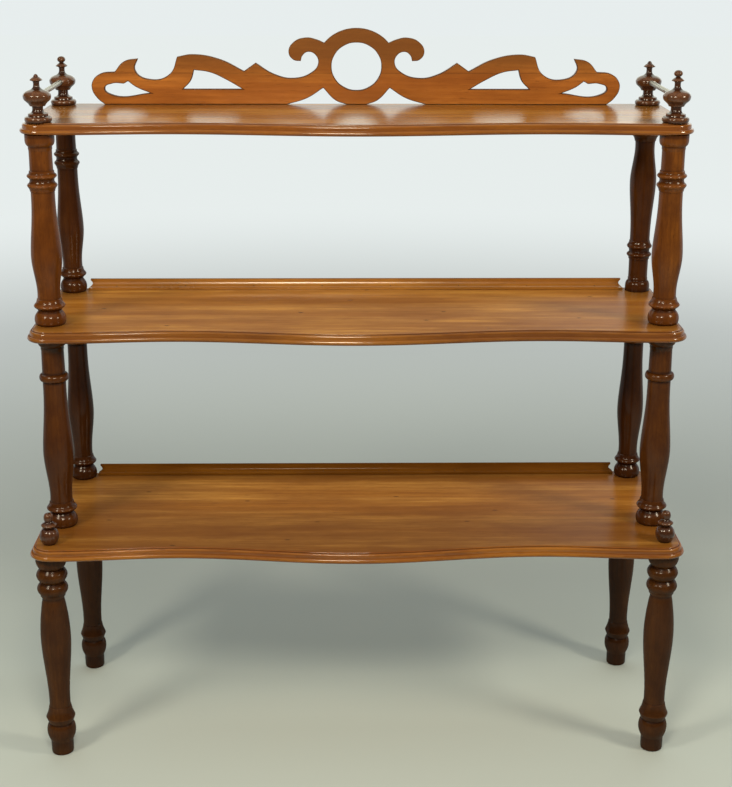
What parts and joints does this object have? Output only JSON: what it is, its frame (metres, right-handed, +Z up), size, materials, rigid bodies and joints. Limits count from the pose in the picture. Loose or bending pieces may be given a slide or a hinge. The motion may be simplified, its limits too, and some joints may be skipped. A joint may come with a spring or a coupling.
{
  "type": "plate rack",
  "caption": "Open serpentine-front buffet stand for plates: moulded shelves on turned columns and legs, with finials, side rails and a fretwork back gallery.",
  "frame": {"origin": "on the floor, in the middle of the footprint", "axes": "+Z up from the floor, -Y towards the front of the shelves, +X to the right as seen from the front"},
  "size_m": [1.08, 0.392, 1.1918],
  "materials": {
    "board_wood": "polished orange brown boards with dark streaks",
    "gallery_wood": "polished orange brown fretted board",
    "column_wood": "polished red brown turned wood",
    "leg_wood": "polished dark brown turned wood",
    "finial_wood": "polished dark brown turned wood",
    "rail_metal": "dull warm grey metal rod",
    "peg_wood": "plain unpolished wood, hidden in the joints"
  },
  "bodies": {
    "root": {"shelf_top": "board_wood", "shelf_middle": "board_wood", "shelf_bottom": "board_wood", "gallery": "gallery_wood", "upstand_middle": "board_wood", "upstand_bottom": "board_wood", "column_upper_front_left": "column_wood", "column_upper_front_right": "column_wood", "column_upper_rear_left": "column_wood", "column_upper_rear_right": "column_wood", "column_lower_front_left": "column_wood", "column_lower_front_right": "column_wood", "column_lower_rear_left": "column_wood", "column_lower_rear_right": "column_wood", "leg_front_left": "leg_wood", "leg_front_right": "leg_wood", "leg_rear_left": "leg_wood", "leg_rear_right": "leg_wood", "finial_front_left": "finial_wood", "finial_front_right": "finial_wood", "finial_rear_left": "finial_wood", "finial_rear_right": "finial_wood", "corner_finial_left": "finial_wood", "corner_finial_right": "finial_wood", "rail_left": "rail_metal", "rail_right": "rail_metal", "dowel_rear_right": "peg_wood", "gallery_peg_1": "peg_wood", "gallery_peg_2": "peg_wood", "gallery_peg_3": "peg_wood", "gallery_peg_4": "peg_wood", "upstand_middle_peg_1": "peg_wood", "upstand_middle_peg_2": "peg_wood", "upstand_middle_peg_3": "peg_wood", "upstand_bottom_peg_1": "peg_wood", "upstand_bottom_peg_2": "peg_wood", "upstand_bottom_peg_3": "peg_wood"}
  },
  "joints": []
}
